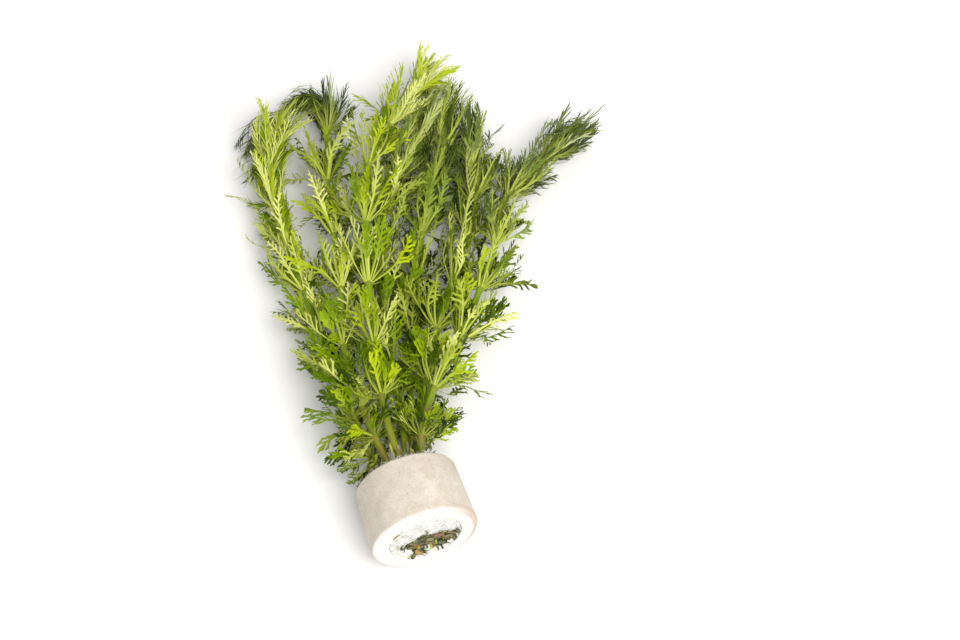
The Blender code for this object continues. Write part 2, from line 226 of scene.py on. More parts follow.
class Strands:
    """A growing set of strands, each with four values a point for its colour."""

    def __init__(self):
        self.points = []
        self.values = []
        self.quads = []
        self.ends = []
        self.quad_sides = []
        self.end_sides = []
        self.total = 0

    def add(self, points, ups, wide, thick, values):
        """Add strands; values are tone, share of the leaf's length and greyness, a point each."""
        count, steps = points.shape[:2]
        corners = strand_corners(points, ups, wide, thick)
        quads, ends, quad_sides, end_sides = strand_faces(count, steps - 1)
        rings = np.repeat(values[:, :-1], 3, axis=1)
        self.points.append(corners.reshape(-1, 3))
        self.values.append(np.concatenate([rings, values[:, -1:]], axis=1).reshape(-1, 3))
        self.quads.append(quads + self.total)
        self.ends.append(ends + self.total)
        self.quad_sides.append(quad_sides)
        self.end_sides.append(end_sides)
        self.total += corners.shape[0] * corners.shape[1]

    def build(self, name, material):
        """Make the object. Its colour values sit on face corners: the fourth says which side."""
        quads = np.concatenate(self.quads)
        ends = np.concatenate(self.ends)
        mesh = bpy.data.meshes.new(name)
        mesh.from_pydata(np.concatenate(self.points), [], quads.tolist() + ends.tolist())
        corner = np.concatenate([quads.ravel(), ends.ravel()])
        sides = np.concatenate([np.repeat(np.concatenate(self.quad_sides), 4),
                                np.repeat(np.concatenate(self.end_sides), 3)])
        values = np.concatenate([np.concatenate(self.values)[corner], sides[:, None]], axis=1)
        layer = mesh.color_attributes.new("growth", "FLOAT_COLOR", "CORNER")
        layer.data.foreach_set("color", values.ravel())
        mesh.shade_smooth()
        mesh.set_sharp_from_angle(angle=math.radians(35))
        mesh.materials.append(material)
        item = bpy.data.objects.new(name, mesh)
        bpy.context.scene.collection.objects.link(item)
        print(name, "triangles", 2 * len(quads) + len(ends))
        return item


# %% [markdown]
# A leaf lies on the spine of its solid. The spine is a smooth curve through the foot, the end of
# the stalk, the widest place and the tip. A flat drawing of the leaf is then bent along it, so
# the drawing only needs a distance along the midrib, a distance across, and a height over the
# leaf's face.

# %% Smooth lines and the frame of a leaf
def smooth_line(points, pieces):
    """Close points on a smooth curve through the given ones."""
    line = np.concatenate([[2 * points[0] - points[1]], points, [2 * points[-1] - points[-2]]])
    t = (np.arange(pieces) / pieces)[:, None]
    fine = []
    for a, b, c, d in zip(line, line[1:], line[2:], line[3:]):
        square = 2 * a - 5 * b + 4 * c - d
        cube = 3 * b - a - 3 * c + d
        fine.append(0.5 * (2 * b + (c - a) * t + square * t ** 2 + cube * t ** 3))
    return np.concatenate(fine + [points[-1:]])


def distances(line):
    """Distance of each point along a line."""
    return np.concatenate([[0], np.cumsum(np.linalg.norm(np.diff(line, axis=0), axis=1))])


def along(line, marks, where):
    """Values of a line at given distances."""
    return np.stack([np.interp(where, marks, line[:, i]) for i in range(line.shape[1])], axis=-1)


def leaf_frame(spine, across, upwards, twist):
    """Fine spine of a leaf with its marks, its across and its upper directions."""
    fine = smooth_line(spine, 5)
    marks = distances(fine)
    ways = unit(np.gradient(fine, axis=0))
    flat = unit(across - ways * (ways @ across)[:, None])
    up = np.cross(ways, flat)
    if (up @ upwards).mean() < 0:
        up = -up
        flat = -flat
    turn = twist * (marks / marks[-1])[:, None]
    return {"line": fine, "marks": marks, "length": marks[-1],
            "flat": flat * np.cos(turn) + up * np.sin(turn),
            "up": up * np.cos(turn) - flat * np.sin(turn)}


# %% [markdown]
# The leaves change from the ring to the tip of a stem. Low down they have a long bare stalk and
# a short blade, divided like an antler with blunt ends. Half way up they are feathers with small
# toothed segments. Near the tip the segments are long and fine and lie nearly side by side, so
# that the leaves fold up into a brush, and the softest of them are smooth plumes. One drawing
# makes all of them from a short list of measures. Each segment is a main strand with up to two
# teeth.

# %% The drawing of a leaf
# Each kind: bare stalk as a share of the length, half the width of the midrib in millimetres,
# pairs of segments, the longest segment in millimetres on a leaf of 20 mm, its angle in degrees,
# its teeth, the angle of a tooth, half the width of a segment in millimetres, how blunt its end
# is, and how much it curls in degrees
KINDS = {
    "antler": {"stalk": 0.40, "rib": 0.46, "pairs": 5, "longest": 4.4, "angle": 44, "teeth": 2,
               "fork": 30, "half": 0.38, "blunt": 0.6, "curl": 24},
    "feather": {"stalk": 0.28, "rib": 0.44, "pairs": 7, "longest": 4.2, "angle": 33, "teeth": 1,
                "fork": 24, "half": 0.32, "blunt": 0.4, "curl": 20},
    "brush": {"stalk": 0.16, "rib": 0.38, "pairs": 8, "longest": 6.0, "angle": 18, "teeth": 1,
              "fork": 12, "half": 0.23, "blunt": 0.2, "curl": 13},
    "plume": {"stalk": 0.08, "rib": 0.24, "pairs": 8, "longest": 8.5, "angle": 8, "teeth": 0,
              "fork": 0, "half": 0.17, "blunt": 0.1, "curl": 8},
}
STALK_HALF = 0.34 * MM
THICKNESS = 0.16 * MM
RIB_STEPS = 11


def bent_strand(start, angle, length, marks, lift, curl):
    """Flat points of a strand that leaves its start at an angle, bends forward and curls."""
    spots = [start]
    x, y, h = start
    for before, after in zip(marks, marks[1:]):
        step = length * (after - before)
        lean = angle * (1 - 0.2 * (before + after)) + curl * (before + after) / 2
        x += step * math.cos(lean)
        y += step * math.sin(lean)
        h += step * lift
        spots.append((x, y, h))
    return spots


def draw_rib(rng, form, length, stalk):
    """Stalk and midrib: they widen into the blade and narrow again to the tip."""
    wave = rng.uniform(0, 6)
    points = []
    halves = []
    for k in range(RIB_STEPS):
        share = k / (RIB_STEPS - 1)
        points.append((length * share, math.sin(k * 0.7 + wave) * 0.008 * length, 0.0))
        blade = (share * length - stalk) / (length - stalk)
        halves.append(STALK_HALF * (1 - 0.3 * share) if blade < 0
                      else form["rib"] * MM * (1 - 0.65 * blade) * min(1, length / (15 * MM)))
    return np.array([points]), np.array([halves])


def draw_segments(rng, form, length, stalk):
    """The segments on both sides of the midrib, and the teeth on the segments."""
    # Small leaves have fine segments.
    half = form["half"] * MM * min(1.0, 0.55 + 0.45 * length / (18 * MM))
    blunt = form["blunt"]
    longest = form["longest"] * MM * (0.5 + 0.5 * length / (20 * MM))
    marks = (0, 0.35, 0.7 + 0.2 * blunt, 1)
    taper = (1.35 * half, 1.1 * half, (0.45 + 0.45 * blunt) * half, 0)
    cup = rng.uniform(0.0, 0.5)
    spacing = (length - stalk) * 0.92 / form["pairs"]
    mains = []
    teeth = []
    for pair in range(form["pairs"]):
        share = pair / (form["pairs"] - 1)
        size = longest * (0.36 + 0.64 * math.sin(math.pi * (0.28 + 0.72 * share)))
        for side in (-1, 1):
            if rng.random() < 0.08:
                continue
            reach = size * rng.uniform(0.66, 1.22)
            angle = side * math.radians(form["angle"] * (1 - 0.25 * share) * rng.uniform(0.7, 1.3))
            curl = math.radians(rng.gauss(0, form["curl"]))
            place = stalk + spacing * (pair + 0.22 * (side + 1) + rng.uniform(-0.1, 0.3))
            lift = cup + rng.uniform(-0.25, 0.25)
            main = bent_strand((place, 0.0, 0.0), angle, reach, marks, lift, curl)
            mains.append(main)
            for tooth in range(form["teeth"]):
                fork = side if tooth == 0 else -side
                mix = 0.3 + 0.5 * tooth + rng.uniform(0, 0.2)
                foot = tuple(a + (b - a) * mix for a, b in zip(main[1], main[2]))
                lean = angle * 0.7 + fork * math.radians(form["fork"] * rng.uniform(0.8, 1.2))
                teeth.append(bent_strand(foot, lean + curl * mix, reach * rng.uniform(0.28, 0.44),
                                         (0, 0.45 + 0.35 * blunt, 1), lift + 0.1, curl))
    groups = [(np.array(mains), np.tile(taper, (len(mains), 1)))]
    if teeth:
        end = (0.5 + 0.4 * blunt) * half
        groups.append((np.array(teeth), np.tile([0.85 * half, end, 0], (len(teeth), 1))))
    return groups


def grow_leaf(strands, rng, kind, leaf, tone, grey):
    """Bend a drawn leaf along its spine and add it to a set of strands."""
    form = KINDS[kind]
    length = leaf["length"]
    stalk = length * form["stalk"] * rng.uniform(0.88, 1.08)
    parts = [draw_rib(rng, form, length, stalk)] + draw_segments(rng, form, length, stalk)
    for number, (points, halves) in enumerate(parts):
        marks = np.clip(points[..., 0], 0, length * 1.02)
        line = along(leaf["line"], leaf["marks"], marks)
        flat = unit(along(leaf["flat"], leaf["marks"], marks))
        up = unit(along(leaf["up"], leaf["marks"], marks))
        placed = line + flat * points[..., 1:2] + up * points[..., 2:3]
        # The midrib keeps the pale colour of the stalk longer than the segments do.
        share = marks / length * (0.6 if number == 0 else 1.0)
        own = tone + np.array([rng.uniform(-0.06, 0.06) for _ in points])[:, None]
        values = np.stack([share * 0 + own, share, np.full_like(share, grey)], axis=-1)
        keep_on_surface(placed)
        strands.add(placed, up, halves, np.minimum(halves, THICKNESS), values)


SURFACE_GAP = 0.2 * MM


def keep_on_surface(points):
    """Lay everything that would be under the surface on it."""
    low = points[..., 2] < SURFACE_GAP
    points[..., 2][low] = SURFACE_GAP + 0.04 * (SURFACE_GAP - points[..., 2][low]).clip(0, 4 * MM)


# %% [markdown]
# Leaf tissue is a waxy skin over a wet green body. The upper side is fresh green and slightly
# glossy. The underside is covered in small air gaps, which scatter the light, so it looks pale
# and dull. Each strand carries four values: its tone from deep green to yellow-green, how far
# up the leaf it is, how grey the leaf is, and which side of the strand it is. The material mixes
# its colours from these, so no two leaves are quite alike.

# %% Leaf tissue
def make_leaf_tissue():
    """Waxy leaf tissue with a fresh upper side and a pale underside."""
    material, tree, shader = new_material("leaf_tissue")
    growth = add(tree, "ShaderNodeAttribute", attribute_name="growth")
    values = add(tree, "ShaderNodeSeparateColor", {"Color": growth.outputs["Color"]})
    tone, share, grey = values.outputs
    side = growth.outputs["Alpha"]
    place = add(tree, "ShaderNodeTexCoord")
    # Patches of 4 mm, the size of the patches of older and younger tissue on a leaf
    patches = add(tree, "ShaderNodeTexNoise", {"Vector": place.outputs["Object"],
                                               "Scale": 1 / (4 * MM), "Detail": 2.0})
    shift = add(tree, "ShaderNodeMath", {0: patches.outputs["Fac"], 1: 0.36, 2: -0.18},
                operation="MULTIPLY_ADD")
    mixed_tone = add(tree, "ShaderNodeMath", {0: tone, 1: shift.outputs[0]}, operation="ADD",
                     use_clamp=True)
    upper = add(tree, "ShaderNodeValToRGB", {"Fac": mixed_tone.outputs[0]},
                stops=[(0.0, "#182802"), (0.3, "#405603"), (0.65, "#769206"), (1.0, "#ACBE18")])
    under = add(tree, "ShaderNodeValToRGB", {"Fac": mixed_tone.outputs[0]},
                stops=[(0.0, "#47580E"), (0.5, "#96A62E"), (1.0, "#DDE382")])
    both = add(tree, "ShaderNodeMix", {"Factor": side, 6: under.outputs["Color"],
                                       7: upper.outputs["Color"]}, data_type="RGBA")
    faded = add(tree, "ShaderNodeValToRGB", {"Fac": mixed_tone.outputs[0]},
                stops=[(0.0, "#3A4722"), (0.5, "#7F8A58"), (1.0, "#CDD1AC")])
    dull = add(tree, "ShaderNodeMix", {"Factor": grey, 6: both.outputs[2],
                                       7: faded.outputs["Color"]}, data_type="RGBA")
    # Stalks are paler and yellower than the blade.
    stalk = add(tree, "ShaderNodeMapRange", {"Value": share, "From Min": 0.12, "From Max": 0.5,
                                             "To Min": 0.6, "To Max": 0.0})
    done = add(tree, "ShaderNodeMix", {"Factor": stalk.outputs["Result"], 6: dull.outputs[2],
                                       7: linear("#BCC856")}, data_type="RGBA")
    tree.links.new(done.outputs[2], shader.inputs["Base Color"])
    gloss = add(tree, "ShaderNodeMapRange", {"Value": side, "To Min": 0.62, "To Max": 0.42})
    tree.links.new(gloss.outputs["Result"], shader.inputs["Roughness"])
    # The skin is dented between cells of about 0.3 mm, drawn as coarse as it needs to show.
    cells = add(tree, "ShaderNodeTexNoise", {"Vector": place.outputs["Object"],
                                             "Scale": 1 / (0.3 * MM), "Detail": 1.0})
    dents = add(tree, "ShaderNodeBump", {"Height": cells.outputs["Fac"], "Strength": 0.25,
                                         "Distance": 0.05 * MM})
    tree.links.new(dents.outputs["Normal"], shader.inputs["Normal"])
    shader.inputs["IOR"].default_value = 1.4
    shader.inputs["Specular IOR Level"].default_value = 0.1
    return material


leaf_tissue = make_leaf_tissue()

# %% [markdown]
# Each leaf of the solid stands for the leaf that lies on it and for the neighbours that grow
# beside it from the same whorl: the real whorls are fuller than the solids. A neighbour is the
# same spine turned a little round the stem, opened or closed, bent and resized, so that no whorl
# looks like an umbrella.

# %% Grow the foliage
# How fresh each stem is (deep to yellow-green) and how grey its brush is
FRESHNESS = {"stem_1": (1.0, 0.0), "stem_2": (0.70, 0.1), "stem_3": (0.72, 0.05),
             "stem_4": (0.62, 0.45), "stem_5": (0.56, 0.4), "stem_6": (0.60, 0.4),
             "stem_7": (0.58, 0.7)}
NEIGHBOURS = 2
LOW_LEAVES = 8
# Whorls by the ring at the left whose leaves were pushed back when the bunch was packed
PUSHED_BACK = {"stem_1_whorl_1": 10, "stem_2_whorl_1": 8, "stem_1_whorl_2": 1,
               "stem_3_whorl_1": 3}
# Whorls with smooth plumes along the stem: how many, and their tone against the other leaves.
# The plumes along the arch at the top left are a deep green.
PLUMES = {"stem_1_whorl_7": (8, -0.05), "stem_1_whorl_8": (14, 0.0), "stem_2_whorl_7": (22, -0.3),
          "stem_2_whorl_8": (16, -0.3), "stem_7_whorl_5": (8, 0.0), "stem_7_whorl_6": (14, 0.0),
          "stem_7_whorl_7": (10, 0.05), "stem_6_whorl_6": (6, 0.0), "stem_6_whorl_7": (8, 0.0),
          "stem_5_whorl_6": (6, 0.0), "stem_5_whorl_7": (8, 0.0), "stem_4_whorl_7": (6, 0.0)}
# The plumes of the first stem sweep over the arch: degrees to the right at each bend.
SWEEP = {"stem_1_whorl_7": 12, "stem_1_whorl_8": 24}
# Whorls whose own leaves are plumes too
ALL_PLUMES = ("stem_2_whorl_7", "stem_2_whorl_8")
# Whorls that are fresher or deeper than the rest of their stem
TONES = {"stem_2_whorl_7": -0.25, "stem_2_whorl_8": -0.3, "stem_1_whorl_1": -0.5,
         "stem_1_whorl_2": -0.35, "stem_1_whorl_3": -0.15, "stem_2_whorl_1": -0.3,
         "stem_2_whorl_2": -0.15, "stem_3_whorl_6": 0.3, "stem_3_whorl_7": 0.5,
         "stem_4_whorl_7": 0.1}


def turn_about(points, centre, axis, angle):
    """Turn points about an axis through a centre."""
    turn = np.array(Matrix.Rotation(angle, 3, Vector(axis)))
    return (points - centre) @ turn.T + centre


def bend_spine(rng, spine, across, most):
    """Bend a spine at each of its joints, up or down and a little sideways."""
    bent = spine.copy()
    for k in range(3):
        up = unit(np.cross(bent[k + 1] - bent[k], across))
        for axis, share in ((across, 1.0), (up, 0.6)):
            angle = math.radians(rng.uniform(-most, most)) * share
            bent[k + 1:] = turn_about(bent[k + 1:], bent[k], axis, angle)
    return bent


def kind_at(level):
    """Kind of leaf at a level, counted from 0 at the ring to 1 at the tip."""
    if level < 0.4:
        return "antler"
    return "feather" if level < 0.75 else "brush"


def neighbour(rng, spine, across, centre, axis, side, tilt, most):
    """Another leaf of a whorl: turned round the stem, opened by a tilt, bent and resized."""
    out = unit(np.cross(axis, np.cross(spine[3] - centre, axis)))
    spine = turn_about(spine, centre, np.cross(axis, out), math.radians(tilt))
    turn = math.radians(rng.uniform(16, 44)) * side
    spine = turn_about(spine, centre, axis, turn)
    across = turn_about(across + centre, centre, axis, turn) - centre
    spine = bend_spine(rng, spine, across, most)
    return spine[0] + (spine - spine[0]) * rng.uniform(0.70, 1.08), across


def laid_leaf(rng, line, marks, start, length, spread):
    """A leaf that lies along its stem: it starts at a joint and drifts away from the stem."""
    angle = rng.uniform(0, 2 * math.pi)
    spots = []
    for share in (0, 0.22, 0.6, 1):
        where = start + length * share
        past = max(0.0, where - marks[-1])
        ends = along(line, marks, np.array([where - 1 * MM, where]) - past - 0.1 * MM)
        way = unit(ends[1] - ends[0])
        side = unit(np.cross(way, [0.0, 0.0, 1.0]))
        away = side * math.cos(angle) + np.cross(side, way) * math.sin(angle)
        spots.append(ends[1] + way * past + away * (0.5 * MM + spread * share ** 0.8))
    return np.array(spots), np.cross(way, away), -away


def grow_foliage(name, stem):
    """All leaves of one stem as one object."""
    rng = random.Random(name)
    strands = Strands()
    fresh, grey = FRESHNESS[name]
    middles = stem["middles"]
    stem_line = smooth_line(middles, 12)
    stem_marks = distances(stem_line)
    last = len(stem["whorls"]) - 1
    for number, (whorl, (place, leaves)) in enumerate(stem["whorls"].items()):
        centre = middles[place]
        axis = unit(middles[min(place + 1, len(middles) - 1)] - middles[place - 1])
        level = number / last
        kind = kind_at(level)
        most = 8 if whorl in ALL_PLUMES else 22
        dull = grey * max(0.0, (level - 0.45) / 0.55)
        spines = []
        for leaf in leaves:
            # The foot goes in to the stem, because a real whorl has no collar.
            spine = leaf["spine"].copy()
            spine[0] = centre + (spine[0] - centre) * 0.45
            spine = bend_spine(rng, spine, leaf["across"], most / 3)
            spines.append((spine, leaf["across"]))
            for copy in range(NEIGHBOURS):
                side = 1 if copy % 2 else -1
                spines.append(neighbour(rng, spine, leaf["across"], centre, axis, side,
                                        rng.uniform(-22, 9), most))
        # The whorl goes on under the stem, where the solid has few leaves: it shows as the dark
        # green depth of the bunch.
        low = sorted(spines, key=lambda s: s[0][3][2])
        for k in range(LOW_LEAVES):
            spines.append(neighbour(rng, *low[k % len(low)], centre, axis,
                                    rng.choice((-1, 1)) * (1 + k // 5),
                                    rng.uniform(-12, 25), most))
        left = sorted(spines, key=lambda s: s[0][3][0])
        for k in range(PUSHED_BACK.get(whorl, 0)):
            spines.append(neighbour(rng, *left[k], centre, axis, rng.choice((-1, 1)),
                                    rng.uniform(35, 75), most))
        grown = [(spine, across, unit(centre + axis * 30 * MM - spine[2]))
                 for spine, across in spines]
        plumes, plume_tone = PLUMES.get(whorl, (0, 0))
        start = stem_marks[12 * place]
        for _ in range(7 if level > 0.5 and name != "stem_3" else 2):
            grown.append(laid_leaf(rng, stem_line, stem_marks, start,
                                   rng.uniform(17, 27) * MM, rng.uniform(1.5, 5.5) * MM))
        for _ in range(plumes):
            spine, across, upwards = laid_leaf(rng, stem_line, stem_marks,
                                               start + rng.uniform(-2, 9) * MM,
                                               rng.uniform(20, 29) * MM,
                                               rng.uniform(0.8, 3.4) * MM)
            for joint in (1, 2):
                sweep = math.radians(SWEEP.get(whorl, 0) * rng.uniform(0.3, 1.3))
                spine = np.concatenate([spine[:joint], turn_about(spine[joint:], spine[joint],
                                                                  (0, 0, 1), -sweep)])
            grown.append((spine, across, upwards))
        for k, (spine, across, upwards) in enumerate(grown):
            plume = k >= len(grown) - plumes or whorl in ALL_PLUMES
            # Out of water the leaves flop, and about half of them show their upper side.
            if rng.random() < (0.7 if level < 0.3 else 0.45):
                upwards = -upwards
            shape = leaf_frame(spine, across, upwards, math.radians(rng.uniform(-45, 45)))
            # Leaves low in the bunch are painted darker: partly older leaves, partly painted shade
            # deep in the bunch.
            depth = min(1.0, spine[2:, 2].mean() / (26 * MM))
            tone = fresh + rng.gauss(0, 0.24) - 0.45 * (1 - depth)
            tone += plume_tone if k >= len(grown) - plumes else TONES.get(whorl, 0)
            faded = 0.6 if whorl in ALL_PLUMES else dull
            grow_leaf(strands, rng, "plume" if plume else kind, shape, max(0.08, tone),
                      faded * rng.uniform(0.4, 1.3))
    item = strands.build(name.replace("stem", "foliage"), leaf_tissue)
    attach(item, "root")
    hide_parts(*stem["whorls"])
    return item


for name, stem in stems.items():
    grow_foliage(name, stem)

# %% [markdown]
# The stems are juicy and smooth, thickest at the ring, with a swollen joint at every whorl. A
# tube of rings along the smooth centre line gives each its taper and its joints.

# %% Stems
STEM_SIDES = 14
STEM_RING_STEP = 1.2 * MM
JOINT_SWELL = 0.16
JOINT_LENGTH = 1.3 * MM
CUT_END_FORWARD = 1.1 * MM


def make_stem_skin():
    """Smooth green stem skin with fine ribs, browner low down and at the joints."""
    material, tree, shader = new_material("stem_skin")
    growth = add(tree, "ShaderNodeAttribute", attribute_name="growth")
    values = add(tree, "ShaderNodeSeparateColor", {"Color": growth.outputs["Color"]})
    tone, share, joint = values.outputs
    place = add(tree, "ShaderNodeTexCoord")
    patches = add(tree, "ShaderNodeTexNoise", {"Vector": place.outputs["Object"],
                                               "Scale": 1 / (5 * MM), "Detail": 3.0})
    shift = add(tree, "ShaderNodeMath", {0: patches.outputs["Fac"], 1: 0.5, 2: -0.25},
                operation="MULTIPLY_ADD")
    mixed = add(tree, "ShaderNodeMath", {0: share, 1: shift.outputs[0]}, operation="ADD",
                use_clamp=True)
    green = add(tree, "ShaderNodeValToRGB", {"Fac": mixed.outputs[0]},
                stops=[(0.0, "#675A1A"), (0.14, "#77701C"), (0.26, "#768A18"),
                       (0.6, "#80A210"), (1.0, "#9CB420")])
    brown = add(tree, "ShaderNodeMath", {0: joint, 1: 0.55}, operation="MULTIPLY",
                use_clamp=True)
    done = add(tree, "ShaderNodeMix", {"Factor": brown.outputs[0], 6: green.outputs["Color"],
                                       7: linear("#7C6A34")}, data_type="RGBA")
    tree.links.new(done.outputs[2], shader.inputs["Base Color"])
    # Ribs run along the stem, about 0.3 mm apart.
    ribs = add(tree, "ShaderNodeTexNoise", {"Vector": place.outputs["UV"], "Scale": 26.0,
                                            "Detail": 2.0})
    bump = add(tree, "ShaderNodeBump", {"Height": ribs.outputs["Fac"], "Strength": 0.4,
                                        "Distance": 0.1 * MM})
    tree.links.new(bump.outputs["Normal"], shader.inputs["Normal"])
    shader.inputs["Roughness"].default_value = 0.42
    shader.inputs["IOR"].default_value = 1.4
    return material


def make_pith():
    """The cut end of a stem: dark, wet and browning round a paler middle."""
    material, tree, shader = new_material("cut_pith")
    growth = add(tree, "ShaderNodeAttribute", attribute_name="growth")
    values = add(tree, "ShaderNodeSeparateColor", {"Color": growth.outputs["Color"]})
    colour = add(tree, "ShaderNodeValToRGB", {"Fac": values.outputs[0]},
                 stops=[(0.0, "#3C4A22"), (0.4, "#6B5A3A"), (0.7, "#7A3F2C"), (1.0, "#B08A45")])
    place = add(tree, "ShaderNodeTexCoord")
    grain = add(tree, "ShaderNodeTexNoise", {"Vector": place.outputs["Object"],
                                             "Scale": 1 / (0.5 * MM), "Detail": 3.0})
    dark = add(tree, "ShaderNodeMix", {"Factor": grain.outputs["Fac"],
                                       6: colour.outputs["Color"], 7: linear("#2E3318")},
               data_type="RGBA")
    tree.links.new(dark.outputs[2], shader.inputs["Base Color"])
    shader.inputs["Roughness"].default_value = 0.35
    return material


stem_skin = make_stem_skin()
cut_pith = make_pith()
CUT_TONES = {"stem_1": 0.05, "stem_2": 1.0, "stem_3": 0.0, "stem_4": 0.45, "stem_5": 0.1,
             "stem_6": 0.72, "stem_7": 0.5}


def make_stem(name, stem):
    """A tube along the smooth centre line, with a swelling at each joint."""
    middles, radii = stem["middles"].copy(), stem["radii"]
    # Wool holds the stem a little behind the mouth, so the cut end may stand this much forward.
    middles[0] += unit(middles[0] - middles[1]) * CUT_END_FORWARD
    line = smooth_line(middles, 12)
    marks = distances(line)
    stops = marks[::12]
    count = int(marks[-1] / STEM_RING_STEP)
    where = np.linspace(0, marks[-1], count)
    centres = along(line, marks, where)
    ways = unit(np.gradient(centres, axis=0))
    radius = np.interp(where, stops, radii)
    joint = np.zeros(count)
    for place, leaves in stem["whorls"].values():
        joint += np.exp(-((where - stops[place]) / JOINT_LENGTH) ** 2)
    radius = radius * (1 + JOINT_SWELL * joint)
    radius[-1] *= 0.4
    side = unit(np.cross(ways, [0.0, 0.0, 1.0]))
    top = np.cross(side, ways)
    turn = np.arange(STEM_SIDES) * 2 * math.pi / STEM_SIDES
    ring = side[:, None] * np.cos(turn)[None, :, None] + top[:, None] * np.sin(turn)[None, :, None]
    # Five shallow ribs, so that the stem is not a drawn tube
    ribs = 1 + 0.035 * np.cos(turn * 5 + where[:, None] * 60)
    points = centres[:, None] + ring * (radius[:, None] * ribs)[..., None]
    points = points.reshape(-1, 3)
    faces = []
    for k in range(count - 1):
        for c in range(STEM_SIDES):
            n = (c + 1) % STEM_SIDES
            row = k * STEM_SIDES
            faces.append((row + c, row + STEM_SIDES + c, row + STEM_SIDES + n, row + n))
    skin_faces = len(faces)
    middle = len(points)
    dent = centres[0] + ways[0] * 0.25 * MM
    points = np.concatenate([points, [dent, centres[-1] + ways[-1] * 0.3 * MM]])
    last = (count - 1) * STEM_SIDES
    for c in range(STEM_SIDES):
        n = (c + 1) % STEM_SIDES
        faces.append((middle, c, n))
        faces.append((last + n, last + c, middle + 1))
    mesh = bpy.data.meshes.new(name + "_skin")
    mesh.from_pydata(points, [], faces)
    values = np.zeros((len(points), 4))
    values[:middle, 0] = CUT_TONES[name]
    values[:middle, 1] = np.repeat(where / marks[-1], STEM_SIDES)
    values[:middle, 2] = np.repeat(joint * (1 - 0.6 * where / marks[-1]), STEM_SIDES)
    values[middle, 0] = CUT_TONES[name]
    layer = mesh.color_attributes.new("growth", "FLOAT_COLOR", "POINT")
    layer.data.foreach_set("color", values.ravel())
    uv = mesh.uv_layers.new(name="UVMap")
    corner = np.zeros(len(mesh.loops), int)
    mesh.loops.foreach_get("vertex_index", corner)
    flat = np.stack([np.append(np.tile(np.arange(STEM_SIDES), count), [0, 0]) / STEM_SIDES,
                     np.append(np.repeat(where / (80 * MM), STEM_SIDES), [0, 0])], axis=1)
    uv.data.foreach_set("uv", flat[corner].ravel())
    mesh.materials.append(stem_skin)
    mesh.materials.append(cut_pith)
    for k in range(STEM_SIDES):
        mesh.polygons[skin_faces + 2 * k].material_index = 1
    mesh.shade_smooth()
    mesh.set_sharp_from_angle(angle=math.radians(50))
    item = bpy.data.objects.new(name + "_skin", mesh)
    bpy.context.scene.collection.objects.link(item)
    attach(item, "root")
    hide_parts(name)
    return item


for name, stem in stems.items():
    make_stem(name, stem)
print("stems:", len(stems))

# %% [markdown]
# The ring is pressed and fired clay, left unglazed: matt, slightly porous, off-white, with a few
# dark and rusty specks from iron in the clay. It is turned, so its section is drawn once, with
# rounded edges, and a Screw modifier turns it. The section is measured from the solid.

# %% The ceramic ring
mouth = frame["record"]["mounts"][0]
mouth_axis = np.array(mouth["axis"])
ring_points = np.array([v.co for v in nodes["ceramic_ring"].data.vertices])
depth = (np.array(mouth["pos_m"]) - ring_points) @ mouth_axis
mouth_centre = ring_points[depth < 0.02 * MM].mean(axis=0)
from_centre = ring_points - mouth_centre
out = np.linalg.norm(from_centre + depth[:, None] * mouth_axis, axis=1)
FLAT_SIDE = math.cos(math.pi / 36)
ring_height = depth.max()
mouth_radius = out.max() * FLAT_SIDE
far_radius = out[depth > ring_height - 2 * MM].max() * FLAT_SIDE
bore_radius = out.min()
print("ring in mm:", [round(v / MM, 2) for v in (ring_height, mouth_radius, far_radius,
                                                 bore_radius)])


def ring_place():
    """Matrix of the ring: local Z runs from the mouth into the plant, local Y is up."""
    inwards = Vector(-mouth_axis)
    right = inwards.cross(Vector((0, 0, 1))).normalized() * -1
    up = inwards.cross(right)
    place = Matrix((right.to_4d(), up.to_4d(), inwards.to_4d(), Vector((*mouth_centre, 1))))
    place = place.transposed()
    place[3] = (0, 0, 0, 1)
    return place


RING_PLACE = ring_place()


def arc(centre, radius, start, stop, steps):
    """Points of an arc, with angles in degrees."""
    spots = []
    for k in range(steps + 1):
        angle = math.radians(start + (stop - start) * k / steps)
        spots.append((centre[0] + radius * math.cos(angle), centre[1] + radius * math.sin(angle)))
    return spots


